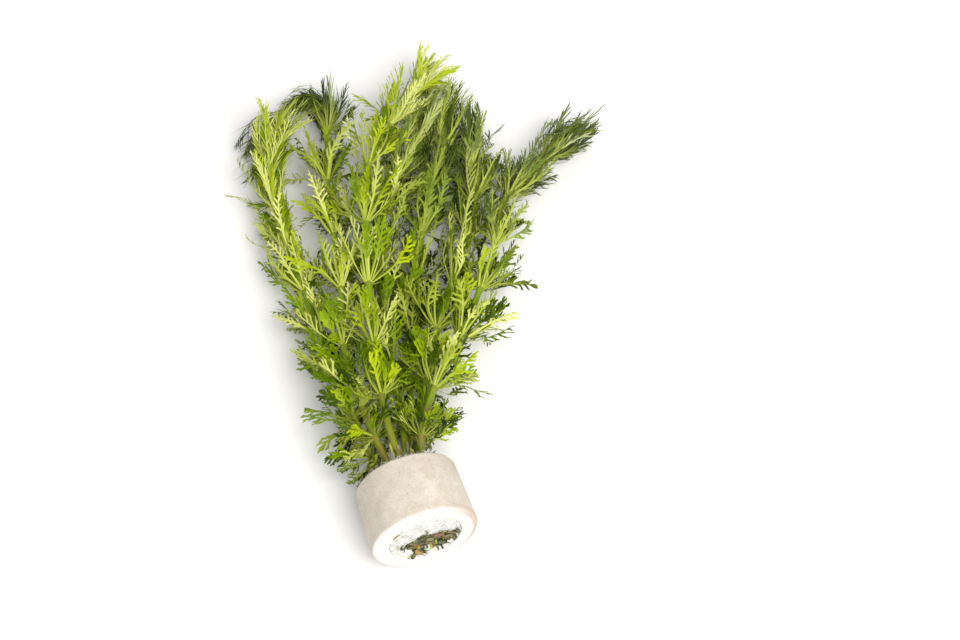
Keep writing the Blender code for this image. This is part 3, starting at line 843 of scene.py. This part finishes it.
def make_ceramic():
    """Unglazed pressed ceramic: beige wall, whiter rubbed mouth, painted shade on one side of the
    lip, iron specks.
    """
    material, tree, shader = new_material("unglazed_ceramic")
    place = add(tree, "ShaderNodeTexCoord")
    spot = place.outputs["Object"]
    axes = add(tree, "ShaderNodeSeparateXYZ", {"Vector": spot})
    clouds = add(tree, "ShaderNodeTexNoise", {"Vector": spot, "Scale": 1 / (9 * MM),
                                              "Detail": 5.0, "Roughness": 0.75})
    wall = add(tree, "ShaderNodeValToRGB", {"Fac": clouds.outputs["Fac"]},
               stops=[(0.34, "#C9BFB0"), (0.5, "#D3CABD"), (0.66, "#DDD6CB")])
    # Grog grains of 0.5 mm, a little lighter and darker than the clay
    grain = add(tree, "ShaderNodeTexNoise", {"Vector": spot, "Scale": 1 / (0.5 * MM),
                                             "Detail": 3.0})
    grog = add(tree, "ShaderNodeValToRGB", {"Fac": grain.outputs["Fac"]},
               stops=[(0.36, "#F3F1EE"), (0.6, "#FFFFFF")])
    grainy = add(tree, "ShaderNodeMix", {"Factor": 1.0, 6: wall.outputs["Color"],
                                         7: grog.outputs["Color"]}, data_type="RGBA",
                 blend_type="MULTIPLY")
    # The pressed mouth face is rubbed nearly white.
    face = add(tree, "ShaderNodeMapRange", {"Value": axes.outputs["Z"], "From Min": 0.5 * MM,
                                            "From Max": 0.9 * MM, "To Min": 1.0, "To Max": 0.0})
    pale = add(tree, "ShaderNodeMix", {"Factor": face.outputs["Result"],
                                       6: grainy.outputs[2], 7: linear("#E1DFDB")},
               data_type="RGBA")
    # On one side the rounded lip is painted darker, a pinkish beige: painted shade where it turns
    # away from the light.
    one_side = add(tree, "ShaderNodeMapRange", {"Value": axes.outputs["X"],
                                                "From Min": -7 * MM, "From Max": -15 * MM})
    lip = add(tree, "ShaderNodeMapRange", {"Value": axes.outputs["Z"], "From Min": 2.8 * MM,
                                           "From Max": 1.2 * MM, "To Max": 0.85})
    shaded_side = add(tree, "ShaderNodeMath", {0: one_side.outputs["Result"],
                                         1: lip.outputs["Result"]}, operation="MULTIPLY")
    radius = add(tree, "ShaderNodeVectorMath", {0: spot}, operation="LENGTH")
    outer = add(tree, "ShaderNodeMapRange", {"Value": radius.outputs["Value"],
                                             "From Min": mouth_radius - 2.4 * MM,
                                             "From Max": mouth_radius - 1.2 * MM})
    shaded_lip = add(tree, "ShaderNodeMath", {0: shaded_side.outputs[0], 1: outer.outputs["Result"]},
                    operation="MULTIPLY")
    lip_shade = add(tree, "ShaderNodeMix", {"Factor": shaded_lip.outputs[0], 6: pale.outputs[2],
                                       7: linear("#BFAE9F")}, data_type="RGBA")
    # Iron specks: one in each cell of 1.5 mm at most, and only in the cells that chance picks.
    cells = add(tree, "ShaderNodeTexVoronoi", {"Vector": spot, "Scale": 1 / (1.5 * MM)})
    size = add(tree, "ShaderNodeSeparateColor", {"Color": cells.outputs["Color"]})
    limit = add(tree, "ShaderNodeMapRange", {"Value": size.outputs[0], "From Min": 0.45,
                                             "From Max": 1.0, "To Min": 0.0, "To Max": 0.16})
    speck = add(tree, "ShaderNodeMath", {0: cells.outputs["Distance"],
                                         1: limit.outputs["Result"]}, operation="LESS_THAN")
    speck_colour = add(tree, "ShaderNodeValToRGB", {"Fac": size.outputs[1]},
                       stops=[(0.0, "#8E8272"), (0.7, "#9C8F80"), (1.0, "#A5602F")])
    faint = add(tree, "ShaderNodeMath", {0: speck.outputs[0], 1: 0.75}, operation="MULTIPLY")
    done = add(tree, "ShaderNodeMix", {"Factor": faint.outputs[0], 6: lip_shade.outputs[2],
                                       7: speck_colour.outputs["Color"]}, data_type="RGBA")
    tree.links.new(done.outputs[2], shader.inputs["Base Color"])
    # The grains stand out a little, on shallow press marks of 3 mm.
    marks = add(tree, "ShaderNodeTexNoise", {"Vector": spot, "Scale": 1 / (3 * MM)})
    relief = add(tree, "ShaderNodeMath", {0: grain.outputs["Fac"], 1: marks.outputs["Fac"]},
                 operation="ADD")
    bump = add(tree, "ShaderNodeBump", {"Height": relief.outputs[0], "Strength": 0.35,
                                        "Distance": 0.15 * MM})
    tree.links.new(bump.outputs["Normal"], shader.inputs["Normal"])
    rough = add(tree, "ShaderNodeMapRange", {"Value": clouds.outputs["Fac"], "To Min": 0.75,
                                             "To Max": 0.95})
    tree.links.new(rough.outputs["Result"], shader.inputs["Roughness"])
    shader.inputs["Specular IOR Level"].default_value = 0.3
    return material


def make_ring():
    """Turn the ring's rounded section round its axis."""
    lip, heel, edge = 1.6 * MM, 1.1 * MM, 0.6 * MM
    section = [(bore_radius, ring_height - edge)]
    section += arc((bore_radius + edge, ring_height - edge), edge, 180, 90, 4)[1:]
    section += arc((far_radius - heel, ring_height - heel), heel, 90, 0, 6)
    section += arc((mouth_radius - lip, lip), lip, 0, -90, 10)
    section += arc((bore_radius + edge, edge), edge, -90, -180, 4)
    mesh = bpy.data.meshes.new("ceramic_ring_fired")
    count = len(section)
    mesh.from_pydata([(x, 0, z) for x, z in section], [(k, (k + 1) % count)
                                                       for k in range(count)], [])
    ring = bpy.data.objects.new("ceramic_ring_fired", mesh)
    bpy.context.scene.collection.objects.link(ring)
    turned = ring.modifiers.new("turned", "SCREW")
    turned.steps = 144
    turned.render_steps = 144
    turned.use_merge_vertices = True
    turned.merge_threshold = 0.001 * MM
    turned.use_smooth_shade = True
    mesh.materials.append(make_ceramic())
    ring.matrix_world = RING_PLACE
    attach(ring, "root")
    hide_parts("ceramic_ring")
    return ring


make_ring()

# %% [markdown]
# Filter wool is carded polyester: curly white fibres with air between them. From a distance it
# is a soft white mass with a fuzzy edge, so it is a lumpy body with loose fibres on both ends.
# The body is a drum of rings and spokes. At the mouth it is flush with the ceramic, and it has
# sunk in a hollow round the cut ends of the stems. The camera looks over the lower rim into that
# hollow, so what is deeper shows higher up, and the hollow lies a little lower than it looks.

# %% The body of the wool
SPOKES = 96
CIRCLES = 30
TO_RING = np.linalg.inv(np.array(RING_PLACE))
cut_ends = np.array([TO_RING[:3, :3] @ stem["middles"][0] + TO_RING[:3, 3]
                     for stem in stems.values()])
print("cut ends are this deep in mm:", [round(v / MM, 1) for v in cut_ends[:, 2]])


# Dark places between the cut ends, as they show in the mouth: right (from behind), up, radius in mm
DARK_PLACES = ((3.9, -1.6, 2.5), (2.4, -5.2, 2.0), (2.8, -8.6, 1.6), (0.6, 1.0, 2.2),
               (-0.8, -1.6, 2.3), (-3.4, 0.4, 2.2), (-5.8, 0.4, 2.0), (-8.0, -1.0, 2.0),
               (-7.2, -3.6, 1.7), (-4.8, -5.4, 2.0), (-3.0, -2.8, 2.3), (1.4, -3.2, 2.0))
HOLLOW_SHIFT = 1.7


def hollowed(x, y):
    """How far a place is in the hollow round the cut ends, from 0 to 1."""
    near = min(math.hypot(x / MM - right, y / MM - up + HOLLOW_SHIFT) / radius
               for right, up, radius in DARK_PLACES)
    return min(1.0, max(0.0, (1.4 - near) / 0.5))


def sunk(x, y):
    """Depth of the wool under the mouth."""
    hollow = hollowed(x, y)
    lumps = (noise.noise(Vector((x, y, 0)) / (1.9 * MM))
             + noise.noise(Vector((x, y, 9 * MM)) / (0.8 * MM)))
    return 0.5 * MM + 1.2 * MM * hollow ** 2 * (3 - 2 * hollow) + 0.2 * MM * lumps


def swollen(x, y):
    """Height of the wool over the far end of the ring."""
    lumps = (noise.noise(Vector((x, y, 20 * MM)) / (2.4 * MM))
             + noise.noise(Vector((x, y, 30 * MM)) / MM))
    return ring_height + 0.5 * MM + 0.35 * MM * lumps


def make_fleece():
    """White carded polyester, with painted shade: grey in the dents between its tufts, and dark
    round the cut ends, where it is also stained.
    """
    material, tree, shader = new_material("polyester_fleece")
    place = add(tree, "ShaderNodeTexCoord")
    tufts = add(tree, "ShaderNodeTexNoise", {"Vector": place.outputs["Object"],
                                             "Scale": 1 / (0.9 * MM), "Detail": 6.0})
    # The dents between the tufts are greyer: painted shade on white fibre.
    colour = add(tree, "ShaderNodeValToRGB", {"Fac": tufts.outputs["Fac"]},
                 stops=[(0.3, "#BDBFB8"), (0.45, "#E8E9E5"), (0.7, "#F8F8F5")])
    bump = add(tree, "ShaderNodeBump", {"Height": tufts.outputs["Fac"], "Strength": 0.9,
                                        "Distance": 0.4 * MM})
    tree.links.new(bump.outputs["Normal"], shader.inputs["Normal"])
    # Round the cut ends the wool is painted dark green and brown: partly juice stain and leaf dust,
    # partly painted shade in the hollow.
    stain_and_shade = add(tree, "ShaderNodeAttribute", attribute_name="stain_and_shade")
    dust_and_shade = add(tree, "ShaderNodeTexNoise", {"Vector": place.outputs["Object"],
                                            "Scale": 1 / (1.3 * MM), "Detail": 4.0})
    both = add(tree, "ShaderNodeMath", {0: stain_and_shade.outputs["Fac"], 1: dust_and_shade.outputs["Fac"]},
               operation="ADD")
    cover = add(tree, "ShaderNodeMapRange", {"Value": both.outputs[0], "From Min": 0.85,
                                             "From Max": 1.15})
    juice_and_shade = add(tree, "ShaderNodeValToRGB", {"Fac": dust_and_shade.outputs["Fac"]},
                stops=[(0.35, "#23280F"), (0.55, "#474A1C"), (0.7, "#6E6636")])
    done = add(tree, "ShaderNodeMix", {"Factor": cover.outputs["Result"],
                                       6: colour.outputs["Color"], 7: juice_and_shade.outputs["Color"]},
               data_type="RGBA")
    tree.links.new(done.outputs[2], shader.inputs["Base Color"])
    shader.inputs["Roughness"].default_value = 0.95
    shader.inputs["Sheen Weight"].default_value = 0.2
    return material


fleece = make_fleece()


def make_wool_body():
    """The drum of wool: a face in the mouth, a side along the bore and a face to the plant."""
    radius = bore_radius - 0.12 * MM
    points = []
    stain_and_shade = []
    for face in (sunk, swollen):
        for circle in range(CIRCLES, -1, -1) if face is sunk else range(CIRCLES + 1):
            for spoke in range(SPOKES if circle else 1):
                turn = 2 * math.pi * spoke / SPOKES
                x = radius * circle / CIRCLES * math.cos(turn)
                y = radius * circle / CIRCLES * math.sin(turn)
                points.append((x, y, face(x, y)))
                # The stain and the painted shade follow the hollow round the cut ends.
                stain_and_shade.append(hollowed(x, y) if face is sunk else 0.0)
    half = len(points) // 2
    # The mouth face is stored from its rim inwards; the far face from its middle outwards.
    rows = [list(range(k * SPOKES, (k + 1) * SPOKES)) for k in range(CIRCLES)]
    far = [[half + 1 + k * SPOKES + s for s in range(SPOKES)] for k in range(CIRCLES)]
    faces = []
    for lower, upper in list(zip(rows[1:], rows)) + [(rows[0], far[-1])] + list(
            zip(far[:0:-1], far[-2::-1])):
        for s in range(SPOKES):
            n = (s + 1) % SPOKES
            faces.append((lower[s], lower[n], upper[n], upper[s]))
    for s in range(SPOKES):
        n = (s + 1) % SPOKES
        faces.append((half - 1, rows[-1][n], rows[-1][s]))
        faces.append((half, far[0][s], far[0][n]))
    mesh = bpy.data.meshes.new("filter_wool_body")
    mesh.from_pydata(points, [], faces)
    mesh.attributes.new("stain_and_shade", "FLOAT", "POINT").data.foreach_set("value", stain_and_shade)
    mesh.shade_smooth()
    mesh.materials.append(fleece)
    body = bpy.data.objects.new("filter_wool_body", mesh)
    bpy.context.scene.collection.objects.link(body)
    work = bmesh.new()
    work.from_mesh(mesh)
    bmesh.ops.recalc_face_normals(work, faces=work.faces)
    print("wool body: open edges", sum(not e.is_manifold for e in work.edges))
    work.to_mesh(mesh)
    work.free()
    body.matrix_world = RING_PLACE
    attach(body, "root")
    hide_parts("filter_wool")


make_wool_body()

# %% [markdown]
# Loose fibres give the wool its fuzz. Each is a very thin strand that wanders over the wool and
# rises a little from it. At the far end some lie over the ring's edge.

# %% Loose fibres
FIBRE_HALF = 0.045 * MM
FIBRES = 900
FIBRE_STEPS = 8


def wander(rng, count, near, most):
    """Flat courses of fibres that start between two radii and stay within the outer one."""
    turn = rng.uniform(0, 2 * math.pi, count)
    away = np.sqrt(rng.uniform(near ** 2, most ** 2, count))
    heading = rng.uniform(0, 2 * math.pi, count)
    curl = rng.uniform(-0.7, 0.7, count)
    spot = np.stack([away * np.cos(turn), away * np.sin(turn)], axis=1)
    course = []
    for _ in range(FIBRE_STEPS):
        course.append(spot)
        heading = heading + curl + rng.normal(0, 0.25, count)
        step = rng.uniform(0.35, 0.65, count) * MM
        spot = spot + np.stack([np.cos(heading) * step, np.sin(heading) * step], axis=1)
    course = np.stack(course, axis=1)
    return course / np.maximum(1, np.linalg.norm(course, axis=2) / most)[..., None]


def make_fibres():
    """Fibres on both ends of the wool."""
    rng = np.random.default_rng(5)
    strands = Strands()
    for face, near, most, outwards, high in (
            (sunk, 1 * MM, bore_radius - 0.3 * MM, -1, 0.5 * MM),
            (swollen, 8 * MM, bore_radius + 2.8 * MM, 1, 1.1 * MM)):
        course = wander(rng, FIBRES, near, most)
        if face is sunk:
            # None lie over the hollow.
            clear = [max(hollowed(x, y) for x, y in fibre[::2]) < 0.35 for fibre in course]
            course = course[np.array(clear)]
        count = len(course)
        level = np.array([[face(x, y) for x, y in fibre] for fibre in course])
        if face is swollen:
            level = np.maximum(level, ring_height + 0.1 * MM)
        lift = rng.uniform(0, 1, count)[:, None] ** 2 * np.sin(
            np.linspace(0.2, 2.9, FIBRE_STEPS))[None]
        line = np.concatenate([course, (level + outwards * (0.1 * MM + high * lift))[..., None]],
                              axis=2)
        half = np.full(level.shape, FIBRE_HALF)
        ups = np.tile([0.0, 0.0, float(outwards)], (count, FIBRE_STEPS, 1))
        strands.add(line, ups, half, half, np.zeros((*level.shape, 3)))
    fibres = strands.build("filter_wool_fibres", fleece)
    fibres.matrix_world = RING_PLACE
    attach(fibres, "root")


make_fibres()

# %% [markdown]
# Between the cut ends lie scraps of leaf and old stalk: dark green, brown, ochre, and a few
# fresh ones. They are strands again, wide for a stalk and narrow for a leaf, laid in the hollow
# of the wool. One ochre scrap has stuck to the ceramic beside the bore.

# %% Scraps in the mouth
# Where each scrap starts in the mouth (right and up, in millimetres, seen from the plant), its
# heading in degrees, length and half width in millimetres, and its colour: 0 dark green, 0.25
# olive, 0.45 grey brown, 0.65 red brown, 0.85 ochre, 1 fresh green
SCRAPS = ((5.4, -2.4, 15, 3.6, 0.7, 0.0), (4.4, -0.6, 200, 3.4, 0.6, 0.05),
          (3.4, -4.2, 235, 2.8, 0.6, 0.86), (2.4, -4.0, 262, 2.8, 0.45, 0.72),
          (3.2, -7.2, 262, 3.4, 0.55, 0.84), (2.2, -7.6, 280, 3.2, 0.5, 0.78),
          (2.9, -8.6, 230, 2.8, 0.55, 0.88), (1.6, -8.2, 300, 2.2, 0.4, 0.3),
          (3.9, -8.6, 320, 2.6, 0.8, 0.25), (2.8, 0.2, 155, 4.6, 0.45, 0.25),
          (1.2, 1.4, 185, 3.8, 0.4, 0.30), (-0.6, -1.0, 220, 3.0, 1.0, 0.45),
          (-2.6, 1.6, 190, 3.4, 0.9, 0.66), (-3.8, -0.4, 200, 3.0, 0.9, 0.58),
          (-5.2, 1.8, 250, 3.0, 0.35, 1.0), (-6.0, 2.0, 285, 2.8, 0.3, 1.0),
          (-6.8, -0.2, 195, 3.4, 0.8, 0.62), (-6.4, -3.0, 205, 3.0, 0.8, 0.50),
          (-4.4, -5.2, 240, 3.4, 1.0, 0.08), (-1.6, -4.8, 262, 3.2, 0.3, 0.97),
          (-2.6, -4.6, 275, 3.4, 0.3, 0.30), (-3.4, -4.4, 258, 2.8, 0.3, 1.0),
          (-0.8, 3.4, 84, 2.6, 0.35, 0.28), (-10.2, 1.8, 262, 4.0, 0.6, 0.12),
          (8.4, -1.8, 100, 3.0, 0.3, 0.25), (-8.6, -5.0, 230, 2.6, 0.3, 0.30))
STUCK_SCRAP = (10.3, 6.1, 122, 3.6, 0.3, 0.84)
LITTER = 8
LITTER_SHIFT = 1.0


def make_wilted_tissue():
    """Wet, wilting leaf and stalk: the colour follows the age of the scrap."""
    material, tree, shader = new_material("wilted_tissue")
    growth = add(tree, "ShaderNodeAttribute", attribute_name="growth")
    values = add(tree, "ShaderNodeSeparateColor", {"Color": growth.outputs["Color"]})
    place = add(tree, "ShaderNodeTexCoord")
    blotches = add(tree, "ShaderNodeTexNoise", {"Vector": place.outputs["Object"],
                                                "Scale": 1 / (0.7 * MM), "Detail": 3.0})
    age = add(tree, "ShaderNodeMapRange", {"Value": blotches.outputs["Fac"], "To Min": -0.1,
                                           "To Max": 0.1})
    mixed = add(tree, "ShaderNodeMath", {0: values.outputs[0], 1: age.outputs["Result"]},
                operation="ADD", use_clamp=True)
    colour = add(tree, "ShaderNodeValToRGB", {"Fac": mixed.outputs[0]},
                 stops=[(0.0, "#2B3418"), (0.25, "#59631C"), (0.45, "#756B42"),
                        (0.65, "#74402A"), (0.85, "#A27A24"), (1.0, "#97AE1C")])
    tree.links.new(colour.outputs["Color"], shader.inputs["Base Color"])
    bump = add(tree, "ShaderNodeBump", {"Height": blotches.outputs["Fac"], "Strength": 0.6,
                                        "Distance": 0.2 * MM})
    tree.links.new(bump.outputs["Normal"], shader.inputs["Normal"])
    shader.inputs["Roughness"].default_value = 0.4
    return material


def inside_bore(x, y, margin):
    """The same place in the mouth, or the nearest one that is a margin inside the bore."""
    share = min(1.0, (bore_radius - margin) / max(math.hypot(x, y), 0.1 * MM))
    return x * share, y * share


def make_scraps():
    """Scraps of leaf and stalk in the hollow of the wool, and one on the ceramic."""
    rng = random.Random(3)
    strands = Strands()
    litter = []
    for right, up, radius in DARK_PLACES:
        for _ in range(LITTER):
            litter.append((right + rng.uniform(-radius, radius),
                           up + rng.uniform(-radius, radius) - LITTER_SHIFT,
                           rng.uniform(150, 390), rng.uniform(1.4, 3.4), rng.uniform(0.2, 0.5),
                           rng.choice((0.0, 0.05, 0.1, 0.2, 0.25, 0.3, 0.4, 0.5, 0.8))))
        for _ in range(LITTER // 2):
            # Crumbs of leaf lie round the dark places, on the clean wool.
            litter.append((right + rng.uniform(-2, 2) * radius,
                           up + rng.uniform(-1.6, 1.6) * radius - LITTER_SHIFT,
                           rng.uniform(0, 360), rng.uniform(0.7, 1.5), rng.uniform(0.1, 0.2),
                           rng.choice((0.2, 0.25, 0.3, 0.8, 1.0))))
    for x, y, heading, length, half, tone in tuple(litter) + SCRAPS + (STUCK_SCRAP,):
        curl = rng.uniform(-40, 40)
        line = [(x * MM, y * MM)]
        for k in range(5):
            angle = math.radians(heading + curl * k / 4)
            line.append((line[-1][0] + math.cos(angle) * length * MM / 5,
                         line[-1][1] + math.sin(angle) * length * MM / 5))
        if (x, y) == STUCK_SCRAP[:2]:
            levels = [-0.12 * MM] * 6
        else:
            line = [inside_bore(px, py, half * MM + 0.3 * MM) for px, py in line]
            levels = [min(sunk(px, py), 2.0 * MM) - (0.5 + 0.7 * half) * MM for px, py in line]
        points = np.array([[(px, py, level) for (px, py), level in zip(line, levels)]])
        wide = np.array([[0.6, 0.95, 1.0, 0.95, 0.75, 0]]) * half * MM
        values = np.stack([np.full((1, 6), tone), np.zeros((1, 6)), np.zeros((1, 6))], axis=-1)
        strands.add(points, np.tile([0.0, 0.0, -1.0], (1, 6, 1)), wide,
                    np.minimum(wide, 0.5 * MM), values)
    scraps = strands.build("mouth_scraps", wilted_tissue)
    scraps.matrix_world = RING_PLACE
    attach(scraps, "root")


STUBS = 6


def make_old_stalks():
    """Stalks of lost leaves on the stems by the ring, olive and brown."""
    rng = random.Random(11)
    strands = Strands()
    for stem in stems.values():
        line = smooth_line(stem["middles"], 12)
        marks = distances(line)
        first = marks[12 * next(iter(stem["whorls"].values()))[0]]
        for joint in (ring_height - 1.0 * MM, ring_height + 3.5 * MM, first):
            for _ in range(STUBS):
                ends = along(line, marks, np.array([joint, joint + 1 * MM]))
                way = unit(ends[1] - ends[0])
                side = unit(np.cross(way, [0.0, 0.0, 1.0]))
                turn = rng.uniform(0, 2 * math.pi)
                out = side * math.cos(turn) + np.cross(side, way) * math.sin(turn)
                lean = math.radians(rng.uniform(14, 45))
                far = rng.uniform(3, 8) * MM * np.linspace(0, 1, 6)[:, None]
                bend = rng.uniform(-0.06, 0.12) / MM
                points = (ends[0] + out * 0.6 * MM + way * far * math.cos(lean)
                          + out * (far * math.sin(lean) - bend * far ** 2))
                keep_on_surface(points)
                wide = np.array([[1.2, 0.8, 0.7, 0.7, 0.8, 0]]) * rng.uniform(0.3, 0.5) * MM
                tone = rng.choice((0.12, 0.25, 0.25, 0.35, 0.5, 0.95))
                values = np.stack([np.full((1, 6), tone), np.zeros((1, 6)), np.zeros((1, 6))],
                                  axis=-1)
                strands.add(points[None], np.tile([0.0, 0.0, 1.0], (1, 6, 1)), wide,
                            wide * 0.8, values)
    stalks = strands.build("old_stalks", wilted_tissue)
    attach(stalks, "root")


wilted_tissue = make_wilted_tissue()
make_scraps()
make_old_stalks()

# %% [markdown]
# The bunch was photographed from above on a white surface in very soft light, so bright that
# the surface is almost blown out. A white floor under a white sky gives that, with one large
# soft light at the upper right for the faint shadows at the left.

# %% Floor, light and camera
PHOTO_WIDTH = 960
PIXELS_PER_FOCAL = 2266.67
PITCH = math.radians(60)
MOUTH_PIXEL = (425.8, 539.3)
CAMERA_OFFSET = Vector((16.9375, -294.817, 647.7)) * MM


def make_floor():
    """White studio board."""
    material, tree, shader = new_material("white_board")
    place = add(tree, "ShaderNodeTexCoord")
    noise = add(tree, "ShaderNodeTexNoise", {"Vector": place.outputs["Object"],
                                             "Scale": 1 / (40 * MM)})
    colour = add(tree, "ShaderNodeValToRGB", {"Fac": noise.outputs["Fac"]},
                 stops=[(0.3, "#F6F6F7"), (0.7, "#FAFAFA")])
    tree.links.new(colour.outputs["Color"], shader.inputs["Base Color"])
    shader.inputs["Roughness"].default_value = 0.9
    shader.inputs["Specular IOR Level"].default_value = 0.1
    bpy.ops.mesh.primitive_plane_add(size=6)
    floor = bpy.context.object
    floor.name = "floor"
    floor.data.materials.append(material)


def make_light():
    """A white sky and one large soft light in front."""
    world = bpy.data.worlds.new("white_sky")
    world.use_nodes = True
    world.node_tree.nodes["Background"].inputs["Color"].default_value = linear("#FAFAFA")
    world.node_tree.nodes["Background"].inputs["Strength"].default_value = 0.60
    bpy.context.scene.world = world
    lamp = bpy.data.lights.new("softbox", "AREA")
    lamp.shape = "DISK"
    lamp.size = 0.8
    lamp.energy = 11.5
    lamp.color = linear("#FFFCF7")[:3]
    item = bpy.data.objects.new("softbox", lamp)
    bpy.context.scene.collection.objects.link(item)
    item.location = (0.30, -0.50, 0.90)
    item.rotation_euler = (-item.location).to_track_quat("-Z", "Y").to_euler()


def make_camera():
    """A long lens that looks down at 60 degrees."""
    lens = bpy.data.cameras.new("camera")
    lens.lens = 85
    lens.sensor_width = 36
    lens.clip_start = 0.01
    camera = bpy.data.objects.new("camera", lens)
    bpy.context.scene.collection.objects.link(camera)
    camera.location = Vector(mouth_centre) + CAMERA_OFFSET
    camera.rotation_euler = (math.pi / 2 - PITCH, 0, 0)
    bpy.context.scene.camera = camera


make_floor()
make_light()
make_camera()
bpy.context.scene.view_settings.view_transform = "Standard"
